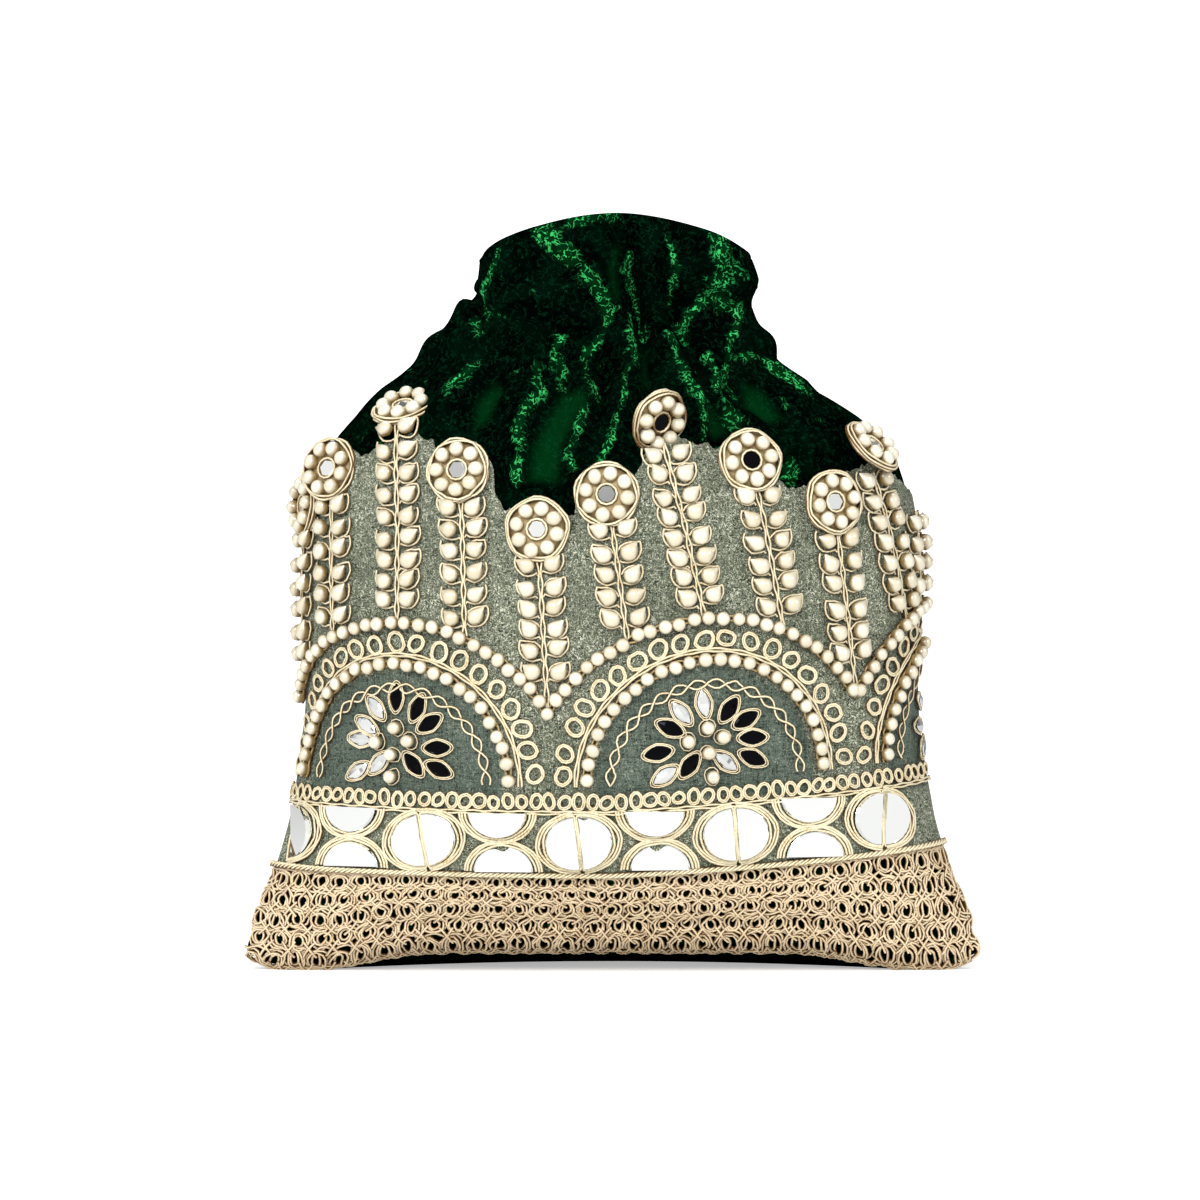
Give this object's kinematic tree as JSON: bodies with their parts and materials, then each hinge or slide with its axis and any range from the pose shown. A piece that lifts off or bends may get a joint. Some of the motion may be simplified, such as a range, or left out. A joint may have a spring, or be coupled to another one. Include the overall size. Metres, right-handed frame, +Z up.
{
  "type": "potli bag",
  "caption": "Velvet drawstring pouch with a gathered neck and frill, its front worked with tissue, bead stems, pearl arches, split mirrors and a knitted cord band.",
  "frame": {"origin": "under the middle of the bag, on the surface it stands on", "axes": "+Z up through the neck, the embroidered front faces -Y, +X is to the right seen from the front"},
  "size_m": [0.2082, 0.11, 0.221],
  "materials": {
    "velvet": "crushed velvet with a metallic sparkle, deep emerald green",
    "lining": "plain dark green satin",
    "tissue": "woven metallic tissue, grey-green with silver threads",
    "gold_cord": "twisted pale gold cord, satin sheen",
    "pearl": "ivory pearl lustre",
    "mirror": "small cut mirrors, polished"
  },
  "bodies": {
    "root": {"arch_cord_1": "gold_cord", "arch_cord_2": "gold_cord", "arch_cord_3": "gold_cord", "bead_stem_1": "pearl", "bead_stem_10": "pearl", "bead_stem_2": "pearl", "bead_stem_3": "pearl", "bead_stem_4": "pearl", "bead_stem_5": "pearl", "bead_stem_6": "pearl", "bead_stem_7": "pearl", "bead_stem_8": "pearl", "bead_stem_9": "pearl", "half_mirror_1": "mirror", "half_mirror_10": "mirror", "half_mirror_11": "mirror", "half_mirror_12": "mirror", "half_mirror_13": "mirror", "half_mirror_14": "mirror", "half_mirror_15": "mirror", "half_mirror_16": "mirror", "half_mirror_17": "mirror", "half_mirror_2": "mirror", "half_mirror_3": "mirror", "half_mirror_4": "mirror", "half_mirror_5": "mirror", "half_mirror_6": "mirror", "half_mirror_7": "mirror", "half_mirror_8": "mirror", "half_mirror_9": "mirror", "inner_pearl_string_1": "pearl", "inner_pearl_string_2": "pearl", "inner_pearl_string_3": "pearl", "knitted_band": "gold_cord", "lining": "lining", "mirror_spray_1": "mirror", "mirror_spray_2": "mirror", "mirror_spray_3": "mirror", "outer_pearl_string": "pearl", "ring_braid": "gold_cord", "stem_head_1": "pearl", "stem_head_10": "pearl", "stem_head_2": "pearl", "stem_head_3": "pearl", "stem_head_4": "pearl", "stem_head_5": "pearl", "stem_head_6": "pearl", "stem_head_7": "pearl", "stem_head_8": "pearl", "stem_head_9": "pearl", "tissue_border": "tissue", "velvet_back_panel": "velvet", "velvet_front_panel": "velvet"}
  },
  "joints": []
}
